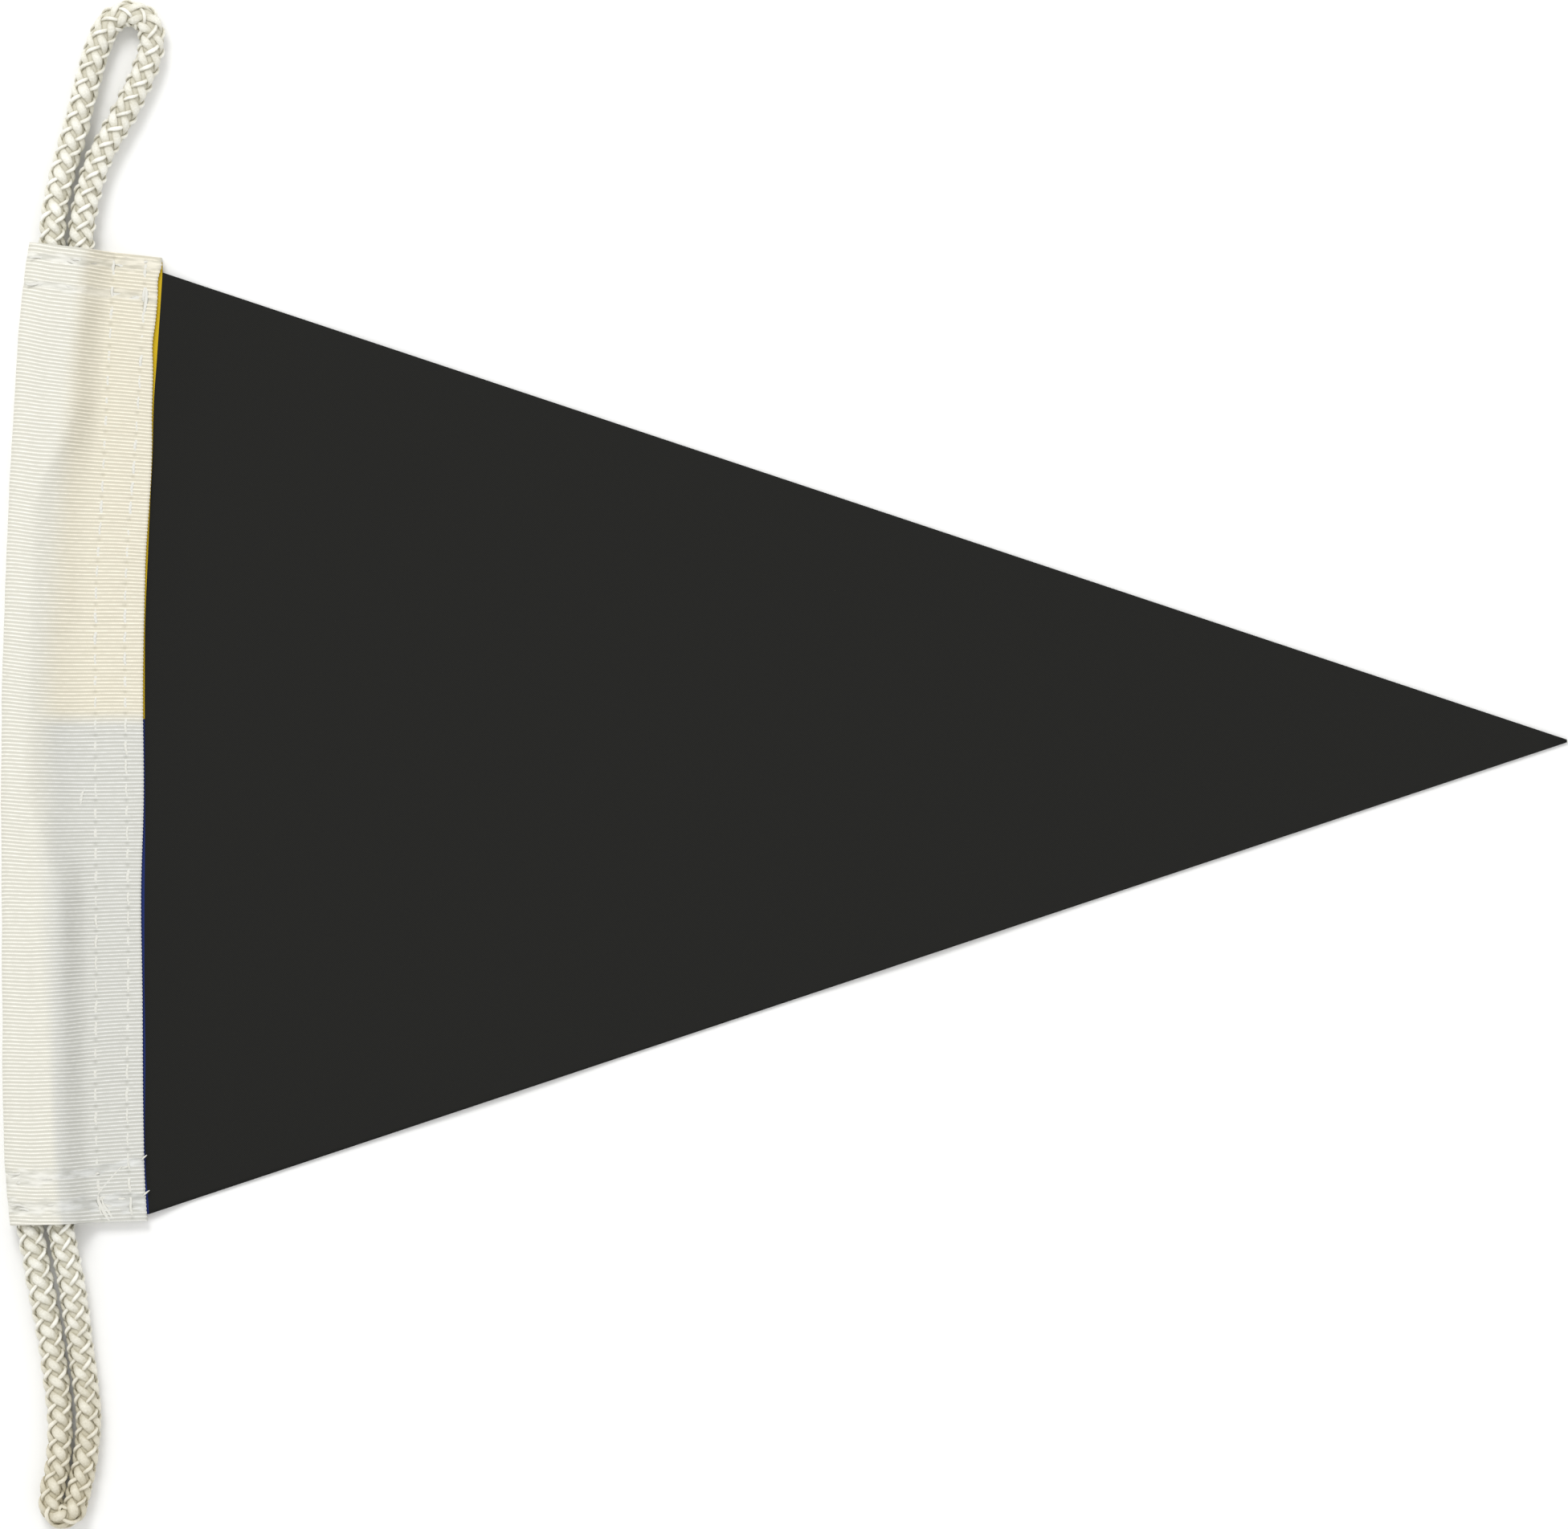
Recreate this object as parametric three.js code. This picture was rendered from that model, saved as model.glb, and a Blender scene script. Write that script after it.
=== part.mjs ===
// Pennant flag laid flat. A black triangular cloth is sewn into a folded, ribbed tape heading, and a
// braided rope runs inside the heading's fold. Each end of the rope is doubled back into the heading,
// which leaves a loop above it and a loop below it.
// Millimetres, +Z up. The hoist runs along Y, the point is towards +X and the underside is at z = 0.
// The origin is under the middle of the cloth and heading.

import * as THREE from 'three';
import { LoftGeometry } from 'three/addons/geometries/LoftGeometry.js';
import { mergeVertices } from 'three/addons/utils/BufferGeometryUtils.js';

// Cloth
const clothThickness = 1;
const point = { x: 166.3, y: -1.5, width: 0.6 }; // the far tip, cut 0.6 mm wide
const hoistTop = 98; // upper corner of the black cloth, where it leaves the heading
const hoistBottom = -102;
const facingTop = 100.2; // the strip under the heading reaches a little above the black corner
const seamInset = 14.6; // from the heading's fold to the cloth's hidden edge
const seamDrop = 10; // the cloth sinks from the seam to the surface over this length
const edgeStep = 0.4; // the black cloth begins this far past the heading's edge

// Heading
const tapeThickness = 1;
const headingTop = 104.3;
const ribPitch = 0.797;
const ribHeight = 0.16;
const ribTurn = 90; // the ribs are raised round the fold to this turn from the top, in degrees
const foldStep = 30; // degrees between the section's points round the fold
const plainSections = 30; // sections of the tape's hidden sides
const tapeFoot = 17.3; // inset at which the upper layer comes down to the seam from the rope

// Rope
const ropeRadius = 2.85; // mean, between the braid's bumps and hollows
const braidLay = 14.7; // length in which a strand goes once round
const braidHeight = 0.2; // of a bump over the mean
const reliefStart = 4; // length outside the heading over which the braid rises
const ropeSides = 16;
const sleeveStep = 9; // spacing of the sections of the plain stretch inside the heading
const strandSpacing = 6.4;
const topTailEnd = 36; // how far below the heading's top the upper tail ends
const bottomTailEnd = 137; // how far below the heading's top the lower tail ends
const tailMargin = 3; // the heading's hump keeps its width for this length past a tail's end
const tailBlend = 14; // and then narrows over this length

// Fits
const gap = 0.3; // between pieces
const sleeveGap = 0.47; // between the rope and the heading's facets

// The heading's outline, one row for each section. down is measured along the hoist from the top, fold
// and edge are the x of its two long sides, and drop is how much lower a rib lies at the open edge.
const headingSections = [
  { down: 0, fold: -160.15, edge: -132.1, drop: 3.2 },
  { down: 3, fold: -160.7, edge: -132.2, drop: 3.2 },
  { down: 8, fold: -161.4, edge: -132.4, drop: 3.15 },
  { down: 20, fold: -162.5, edge: -133.2, drop: 2.9 },
  { down: 34, fold: -163.4, edge: -133.8, drop: 2.4 },
  { down: 50, fold: -164.3, edge: -134.6, drop: 1.7 },
  { down: 68, fold: -165.1, edge: -135.5, drop: 1 },
  { down: 93, fold: -165.9, edge: -136.2, drop: 0.3 },
  { down: 119, fold: -166.2, edge: -136.2, drop: -0.2 },
  { down: 136, fold: -166.1, edge: -136.4, drop: -0.7 },
  { down: 162, fold: -165.9, edge: -136.1, drop: -1.4 },
  { down: 187, fold: -165.7, edge: -135.9, drop: -1.5 },
  { down: 204, fold: -164.8, edge: -135.3, drop: -1.2 },
  { down: 208.6, fold: -164.3, edge: -135.2, drop: -0.9 },
];

// The rope's centre line from the end of its upper tail to the end of its lower tail
const inSleeve = tapeThickness + sleeveGap + ropeRadius;
const onSurface = ropeRadius + braidHeight + 0.1;
const ropeRoute = [
  [-152.9, 67.5, inSleeve], [-151.2, 91.2, inSleeve], [-149.4, 102, inSleeve], [-148.5, 111, 4],
  [-145.6, 121.5, 3.3], [-139.9, 132.1, onSurface], [-135.3, 142, onSurface],
  [-134.1, 147.6, onSurface], [-135.5, 151.6, onSurface], [-139.1, 153, onSurface],
  [-142.6, 151.4, onSurface], [-144.8, 148, onSurface], [-147.7, 139, onSurface],
  [-150.3, 128.7, onSurface], [-153.2, 118.5, 3.5], [-154.9, 109.5, 4.2], [-155.3, 103.5, inSleeve],
  [-157, 96.5, inSleeve], [-158.8, 73, inSleeve], [-161.2, 20, inSleeve], [-161.6, -50, inSleeve],
  [-160.8, -95, inSleeve], [-160, -104.5, inSleeve], [-158.6, -116.5, 3.8],
  [-155.5, -130.7, onSurface], [-153.6, -146, onSurface], [-154.2, -156, onSurface],
  [-155.4, -161.4, onSurface], [-155.1, -165, onSurface], [-153, -166.2, onSurface],
  [-150.9, -165, onSurface], [-149.85, -161.4, onSurface], [-148.4, -154.5, onSurface],
  [-147.6, -145, onSurface], [-149.25, -130.7, onSurface], [-151.4, -116.5, 3.7],
  [-153.5, -104.5, inSleeve], [-154.8, -90, inSleeve], [-155.2, -62, inSleeve],
  [-155.4, -32.4, inSleeve],
];
const foldPoint = new THREE.Vector2(-152.6, -164.5); // the tight fold of the lower loop
const foldReach = 45;
const foldSqueeze = 0.14; // share by which the rope narrows at that fold, and less on its way there

const degrees = Math.PI / 180;

// Rises smoothly from 0 at the first value to 1 at the second
function ease(from, to, value) {
  return THREE.MathUtils.smoothstep(value, from, to);
}

// Collects triangles and returns them as one closed, merged geometry
class Skin {
  constructor() {
    this.corners = [];
  }

  triangle(a, b, c) {
    this.corners.push(...a.toArray(), ...b.toArray(), ...c.toArray());
  }

  // A grid of rows with the same number of points in each
  grid(rows) {
    for (let i = 0; i + 1 < rows.length; i++) {
      for (let j = 0; j + 1 < rows[i].length; j++) {
        this.triangle(rows[i][j], rows[i + 1][j], rows[i + 1][j + 1]);
        this.triangle(rows[i][j], rows[i + 1][j + 1], rows[i][j + 1]);
      }
    }
  }

  // A strip between two lines that run the same way and may have different numbers of points
  strip(left, right) {
    let i = 0;
    let j = 0;
    while (i + 1 < left.length || j + 1 < right.length) {
      const leftNext = (i + 1) / (left.length - 1);
      const rightNext = (j + 1) / (right.length - 1);
      if (leftNext <= rightNext) {
        this.triangle(left[i], left[i + 1], right[j]);
        i += 1;
      } else {
        this.triangle(left[i], right[j + 1], right[j]);
        j += 1;
      }
    }
  }

  geometry() {
    const geometry = new THREE.BufferGeometry();
    geometry.setAttribute('position', new THREE.Float32BufferAttribute(this.corners, 3));
    const merged = mergeVertices(geometry, 0.001);
    merged.computeVertexNormals();
    return merged;
  }
}

function column(rows, index) {
  return rows.map((row) => row[index]);
}

// Heading

const sectionValues = new THREE.CubicInterpolant(
  headingSections.map((row) => row.down),
  headingSections.flatMap((row) => [row.fold, row.edge, row.drop]),
  3,
  new Float32Array(3),
);
const headingLength = headingSections.at(-1).down;

// The heading's frame at a distance below its top: its folded side, and the way that its ribs run
function headingFrame(down) {
  const [fold, edge, drop] = sectionValues.evaluate(down);
  const across = new THREE.Vector2(edge - fold, -drop);
  const width = across.length();
  return { origin: new THREE.Vector2(fold, headingTop - down), across: across.normalize(), width };
}

// A point of the heading's frame, inset from the folded side and at a height
function headingPoint(frame, inset, z) {
  return new THREE.Vector3(
    frame.origin.x + frame.across.x * inset,
    frame.origin.y + frame.across.y * inset,
    z,
  );
}

// Inset of the last rope strand: two strands lie side by side down to a tail's end, and one past it
function lastStrand(down) {
  const upperEnd = topTailEnd + tailMargin;
  const lowerEnd = bottomTailEnd - tailMargin;
  const upper = 1 - ease(upperEnd, upperEnd + tailBlend, down);
  const lower = ease(lowerEnd - tailBlend, lowerEnd, down);
  return inSleeve + 0.5 + (strandSpacing - 0.5) * Math.max(upper, lower);
}

// Slope in degrees of the straight stretch of tape that runs from its arc round the last strand down to
// the foot at the seam: the line through the foot that touches the arc
function tapeSlope(radius, strand, seamHeight) {
  const run = tapeFoot - strand;
  const fall = inSleeve - seamHeight;
  return (Math.asin(radius / Math.hypot(run, fall)) + Math.atan(fall / run)) / degrees;
}

// Middle line of the tape across the heading, from the open edge of the lower layer round the fold,
// over the rope and down to the open edge of the upper layer. Each point has its inset, its height and
// the turn of its outward normal, in degrees from +Z towards the fold.
function tapeLine(down, width) {
  const radius = ropeRadius + sleeveGap + tapeThickness / 2;
  const strand = lastStrand(down);
  const seamHeight = tapeThickness * 1.5 + clothThickness + 2 * gap;
  const slope = tapeSlope(radius, strand, seamHeight);
  const line = [
    { inset: width, z: tapeThickness / 2, turn: 180 },
    { inset: (width + inSleeve) / 2, z: tapeThickness / 2, turn: 180 },
  ];
  for (let turn = 180; turn >= 0; turn -= foldStep) {
    line.push(onArc(inSleeve, radius, turn));
  }
  for (const turn of [0, -slope / 2, -slope]) {
    line.push(onArc(strand, radius, turn));
  }
  line.push({ inset: tapeFoot, z: seamHeight, turn: -slope / 2 });
  line.push({ inset: (width + tapeFoot) / 2, z: seamHeight, turn: 0 });
  line.push({ inset: width, z: seamHeight, turn: 0 });
  return line;
}

// A point of the line on an arc round a rope strand
function onArc(inset, radius, turn) {
  return {
    inset: inset - radius * Math.sin(turn * degrees),
    z: inSleeve + radius * Math.cos(turn * degrees),
    turn,
  };
}

// One side of the tape across the heading, moved off its middle line by offset
function tapeSide(down, offset) {
  const frame = headingFrame(down);
  return tapeLine(down, frame.width).map(({ inset, z, turn }) => headingPoint(
    frame,
    inset - offset * Math.sin(turn * degrees),
    z + offset * Math.cos(turn * degrees),
  ));
}

function headingGeometry() {
  const skin = new Skin();
  const half = tapeThickness / 2;
  const ribs = Math.round(headingLength / ribPitch);
  const ribStart = 2 + (180 - ribTurn) / foldStep; // the first point of a section on the ribbed face
  const faceRows = [];
  for (let i = 0; i <= 2 * ribs; i++) {
    const raise = (i % 2 === 0 ? -0.5 : 0.5) * ribHeight;
    faceRows.push(tapeSide((headingLength * i) / (2 * ribs), half + raise).slice(ribStart));
  }
  const plainRows = [];
  for (let i = 0; i <= plainSections; i++) {
    const down = (headingLength * i) / plainSections;
    plainRows.push([...tapeSide(down, -half).reverse(), ...tapeSide(down, half).slice(0, ribStart)]);
  }
  skin.grid(faceRows);
  skin.grid(plainRows);
  skin.strip(column(faceRows, faceRows[0].length - 1), column(plainRows, 0));
  skin.strip(column(plainRows, plainRows[0].length - 1), column(faceRows, 0));
  skin.grid(endRows(faceRows[0], plainRows[0], ribStart));
  skin.grid(endRows(faceRows.at(-1), plainRows.at(-1), ribStart).reverse());
  return skin.geometry();
}

// The inner and outer lines of the heading's section, between which its end is closed
function endRows(face, plain, ribStart) {
  const inside = plain.slice(0, -ribStart).reverse();
  const outside = [...plain.slice(-ribStart), ...face];
  return [inside, outside];
}

// Cloth

// Height of the cloth's middle past the heading's edge: it sinks from the seam to the surface
function clothHeight(past) {
  const seam = tapeThickness + gap + clothThickness / 2;
  return THREE.MathUtils.lerp(seam, clothThickness / 2, ease(0, seamDrop, past));
}

// Y of a line of the black cloth at x, for the line's share of the hoist from its top
function clothY(x, hoistX, share) {
  const along = (x - hoistX) / (point.x - hoistX);
  const top = THREE.MathUtils.lerp(hoistTop, point.y + point.width / 2, along);
  const bottom = THREE.MathUtils.lerp(hoistBottom, point.y - point.width / 2, along);
  return THREE.MathUtils.lerp(top, bottom, share);
}

// How much higher than a line of the cloth its rib starts at the fold
function ribRise(share) {
  return THREE.MathUtils.lerp(headingSections[0].drop, headingSections.at(-1).drop, share);
}

// One line of the cloth from the heading to the point, at a share of the hoist from its top
function clothLine(share) {
  const facingDown = THREE.MathUtils.lerp(headingTop - facingTop, headingTop - hoistBottom, share);
  const frame = headingFrame(facingDown - ribRise(share));
  const edge = headingPoint(frame, frame.width, 0);
  const seam = clothHeight(0);
  const facingY = THREE.MathUtils.lerp(facingTop, hoistBottom, share);
  const line = [
    new THREE.Vector3(headingPoint(frame, seamInset, 0).x, facingY, seam),
    new THREE.Vector3(edge.x + edgeStep / 2, facingY, seam),
  ];
  for (const past of [edgeStep, 3, 5, 7, seamDrop]) {
    const x = edge.x + past;
    line.push(new THREE.Vector3(x, clothY(x, edge.x + edgeStep, share), clothHeight(past)));
  }
  line.push(new THREE.Vector3(point.x, clothY(point.x, 0, share), clothThickness / 2));
  return line;
}

function clothGeometry() {
  const skin = new Skin();
  const rowCount = 20;
  const lines = [];
  for (let i = 0; i <= rowCount; i++) {
    lines.push(clothLine(i / rowCount));
  }
  const lift = (amount) => lines.map((line) => line.map((p) => p.clone().setZ(p.z + amount)));
  const top = lift(clothThickness / 2);
  const bottom = lift(-clothThickness / 2);
  const last = top[0].length - 1;
  skin.grid(top);
  skin.grid(bottom.map((line) => [...line].reverse()));
  skin.grid([bottom[0], top[0]]);
  skin.grid([top.at(-1), bottom.at(-1)]);
  skin.grid([column(top, 0), column(bottom, 0)]);
  skin.grid([column(bottom, last), column(top, last)]);
  return skin.geometry();
}

// Rope

// Distances along the rope at which it has a section: close on the free loops, wide in the heading
function ropeStations(curve, length) {
  const braidStep = braidLay / 8;
  const stations = [0];
  while (stations.at(-1) < length) {
    const here = stations.at(-1);
    const ahead = curve.getPointAt(Math.min(1, (here + sleeveStep / 2) / length));
    const free = ahead.y > headingTop || ahead.y < headingTop - headingLength;
    stations.push(here + braidStep * (free ? 1 : Math.round(sleeveStep / braidStep)));
  }
  stations.pop();
  return [...stations, length];
}

// Radius at an angle round the rope and a distance along it: the crossings of the braid's strands
// stand up in columns, each crossing half a step along from those of the next column
function braidRadius(angle, along, relief) {
  const crossing = Math.cos(4 * angle) * Math.cos((8 * Math.PI * along) / braidLay);
  return ropeRadius + relief * braidHeight * crossing;
}

function ropeGeometry() {
  const curve = new THREE.CatmullRomCurve3(ropeRoute.map((p) => new THREE.Vector3(...p)));
  curve.arcLengthDivisions = 2000;
  const length = curve.getLength();
  const up = new THREE.Vector3(0, 0, 1);
  const sections = ropeStations(curve, length).map((along) => {
    const centre = curve.getPointAt(along / length);
    const tangent = curve.getTangentAt(along / length);
    const side = up.clone().cross(tangent).normalize();
    const over = tangent.clone().cross(side);
    const outside = Math.max(centre.y - headingTop, headingTop - headingLength - centre.y);
    const relief = ease(0, reliefStart, outside);
    const fold = foldPoint.distanceTo(new THREE.Vector2(centre.x, centre.y));
    const squeeze = 1 - foldSqueeze * (1 - ease(0, foldReach, fold));
    const ring = [];
    for (let k = 0; k < ropeSides; k++) {
      const angle = (2 * Math.PI * k) / ropeSides;
      const radius = braidRadius(angle, along, relief);
      ring.push(centre.clone()
        .addScaledVector(side, radius * squeeze * Math.cos(angle))
        .addScaledVector(over, radius * Math.sin(angle)));
    }
    return ring;
  });
  return new LoftGeometry(sections, { capStart: true, capEnd: true });
}

// Assembly

function mesh(name, geometry, color, roughness) {
  const material = new THREE.MeshStandardMaterial({ color, roughness, metalness: 0 });
  const part = new THREE.Mesh(geometry, material);
  part.name = name;
  return part;
}

const flag = new THREE.Group();
flag.add(mesh('flag_cloth', clothGeometry(), '#282826', 0.85));
flag.add(mesh('heading', headingGeometry(), '#e4e1d3', 0.9));
flag.add(mesh('rope', ropeGeometry(), '#dedbca', 0.75));

export default flag;
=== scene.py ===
import bpy
import numpy as np
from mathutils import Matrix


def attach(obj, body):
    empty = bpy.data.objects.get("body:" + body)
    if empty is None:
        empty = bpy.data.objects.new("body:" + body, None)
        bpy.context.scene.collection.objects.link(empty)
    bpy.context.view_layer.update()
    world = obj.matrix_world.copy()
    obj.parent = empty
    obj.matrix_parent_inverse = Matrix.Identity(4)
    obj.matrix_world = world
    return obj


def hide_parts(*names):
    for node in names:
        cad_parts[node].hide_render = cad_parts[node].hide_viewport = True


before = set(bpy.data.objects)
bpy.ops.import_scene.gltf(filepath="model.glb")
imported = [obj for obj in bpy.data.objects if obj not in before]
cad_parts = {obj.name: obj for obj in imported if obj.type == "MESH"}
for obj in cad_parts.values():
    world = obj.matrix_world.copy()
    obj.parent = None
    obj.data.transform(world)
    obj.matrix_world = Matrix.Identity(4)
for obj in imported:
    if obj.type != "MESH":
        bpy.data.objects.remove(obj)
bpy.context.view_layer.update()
metres = 0.001
up = np.array([0.0, 0.0, 1.0])


# Camera, straight above as in the photograph, whose frame is 333.1 mm wide on the cloth

camera = {"height": 3.0, "frameWidth": 0.3331, "centre": (0.0, -0.0065), "sensor": 36.0}


def addCamera():
    data = bpy.data.cameras.new("Camera")
    data.sensor_fit = "HORIZONTAL"
    data.sensor_width = camera["sensor"]
    data.lens = camera["sensor"] * camera["height"] / camera["frameWidth"]
    data.clip_end = 50
    eye = bpy.data.objects.new("Camera", data)
    eye.location = (*camera["centre"], camera["height"])
    bpy.context.scene.collection.objects.link(eye)
    bpy.context.scene.camera = eye


addCamera()


# Shared arithmetic

def ease(start, end, value):
    # Rises smoothly from 0 at start to 1 at end: 3 t squared less 2 t cubed
    t = np.clip((value - start) / (end - start), 0, 1)
    return t * t * (3 - 2 * t)


def mix(a, b, share):
    return a + (b - a) * share


def unit(vectors):
    return vectors / np.linalg.norm(vectors, axis=-1, keepdims=True)


def smoothTable(rows, at):
    # A cubic between each two rows of a table, with the slope at a row taken from its neighbours.
    # The first column is the place, and the others come back in the last axis.
    rows = np.array(rows, float)
    place, values = rows[:, 0], rows[:, 1:]
    slopes = np.gradient(values, place, axis=0)
    at = np.clip(at, place[0], place[-1])
    i = np.clip(np.searchsorted(place, at, "right") - 1, 0, len(place) - 2)
    span = place[i + 1] - place[i]
    t = ((at - place[i]) / span)[..., None]
    span = span[..., None]
    rise = values[i + 1] - values[i]
    return (values[i] + span * slopes[i] * t + (3 * rise - span * (2 * slopes[i] + slopes[i + 1])) * t**2
            + (span * (slopes[i] + slopes[i + 1]) - 2 * rise) * t**3)


def drift(x, y, size, seed):
    # Seven waves in chance directions, each about size long, added up: an even wander about 0
    chance = np.random.default_rng(seed)
    total = 0
    for way, start, stretch in chance.uniform((0, 0, 0.7), (6.28, 6.28, 1.6), (7, 3)):
        total = total + np.sin((x * np.cos(way) + y * np.sin(way)) * 6.28 / (size * stretch) + start)
    return total / 2.6


# Meshes from arrays

def gridQuads(rows, columns, start=0):
    # Faces of a grid of points; they look up where rows run towards -Y and columns towards +X
    corner = np.arange(rows * columns).reshape(rows, columns) + start
    return np.stack([corner[:-1, :-1], corner[1:, :-1], corner[1:, 1:], corner[:-1, 1:]], -1).reshape(-1, 4)


def sweep(centres, across, over, halfWidth, halfHeight, sides):
    # An ellipse carried along each of many lines: centre + cos(a) halfWidth across + sin(a) halfHeight
    # over. Arrays are line by station; it returns points, quads, end faces, and a UV for each point,
    # whose u runs from 0 at one edge of the ellipse to 1 at the other and v along the line.
    lines, stations = centres.shape[:2]
    angle = np.arange(sides) * 2 * np.pi / sides
    halfWidth, halfHeight = (np.broadcast_to(h, (lines, stations))[..., None, None]
                             for h in (halfWidth, halfHeight))
    points = (centres[:, :, None] + np.cos(angle)[:, None] * halfWidth * across[:, :, None]
              + np.sin(angle)[:, None] * halfHeight * over[:, :, None])
    corner = np.arange(lines * stations * sides).reshape(lines, stations, sides)
    turned = np.roll(corner, -1, axis=2)
    quads = np.stack([corner[:, :-1], turned[:, :-1], turned[:, 1:], corner[:, 1:]], -1).reshape(-1, 4)
    ends = np.concatenate([corner[:, 0, ::-1], corner[:, -1]])
    u = 1 - np.abs(2 * np.arange(sides) / sides - 1)
    v = np.linspace(0, 1, stations)
    uv = np.stack(np.broadcast_arrays(u, v[:, None]), -1)
    return points.reshape(-1, 3), quads, ends, np.tile(uv.reshape(-1, 2), (lines, 1))


def joinParts(parts):
    # Puts several swept parts into one set of points, quads, end faces and UVs
    counts = np.cumsum([0] + [len(part[0]) for part in parts])
    points, uvs = (np.concatenate([part[k] for part in parts]) for k in (0, 3))
    quads = np.concatenate([part[1] + start for part, start in zip(parts, counts)])
    ends = [face for part, start in zip(parts, counts) for face in (part[2] + start).tolist()]
    return points, quads, ends, uvs


def makePiece(name, points, quads, others, uv, values, material):
    # A mesh piece from points in mm, with one UV for each point and named numbers on the points
    mesh = bpy.data.meshes.new(name)
    mesh.from_pydata((points * metres).tolist(), [], quads.tolist() + list(others))
    corners = np.empty(len(mesh.loops), np.int32)
    mesh.loops.foreach_get("vertex_index", corners)
    layer = mesh.uv_layers.new(name="cloth")
    layer.data.foreach_set("uv", uv[corners].astype(np.float32).ravel())
    for key, numbers in values.items():
        attribute = mesh.attributes.new(key, "FLOAT", "POINT")
        attribute.data.foreach_set("value", np.asarray(numbers, np.float32).ravel())
    mesh.polygons.foreach_set("use_smooth", np.ones(len(mesh.polygons), bool))
    mesh.materials.append(material)
    mesh.update()
    piece = bpy.data.objects.new(name, mesh)
    bpy.context.scene.collection.objects.link(piece)
    print(name, len(mesh.vertices), "points")
    return piece


# Shared material steps

def linear(colour):
    # sRGB hex to linear: v / 12.92 below 0.04045, else ((v + 0.055) / 1.055) to the power 2.4
    parts = [int(colour[i:i + 2], 16) / 255 for i in (1, 3, 5)]
    return (*(v / 12.92 if v <= 0.04045 else ((v + 0.055) / 1.055) ** 2.4 for v in parts), 1.0)


def addNode(tree, kind, inputs=None, **settings):
    # One node with its settings; an input is a number, a colour, a socket, or a node, which stands for
    # its first output in use
    node = tree.nodes.new(kind)
    for key, value in settings.items():
        setattr(node, key, value)
    for key, value in (inputs or {}).items():
        if isinstance(value, bpy.types.Node):
            value = next(output for output in value.outputs if output.enabled)
        if isinstance(value, bpy.types.NodeSocket):
            tree.links.new(value, node.inputs[key])
        else:
            node.inputs[key].default_value = value
    return node


def newMaterial(name):
    material = bpy.data.materials.new(name)
    material.use_nodes = True
    material.node_tree.nodes.clear()
    return material, material.node_tree


def finishMaterial(tree, **inputs):
    named = {key.replace("_", " "): value for key, value in inputs.items()}
    shader = addNode(tree, "ShaderNodeBsdfPrincipled", named)
    addNode(tree, "ShaderNodeOutputMaterial", {"Surface": shader})


# Rope: an 8-strand diamond braid of polyester, doubled back into the heading at each end

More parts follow.
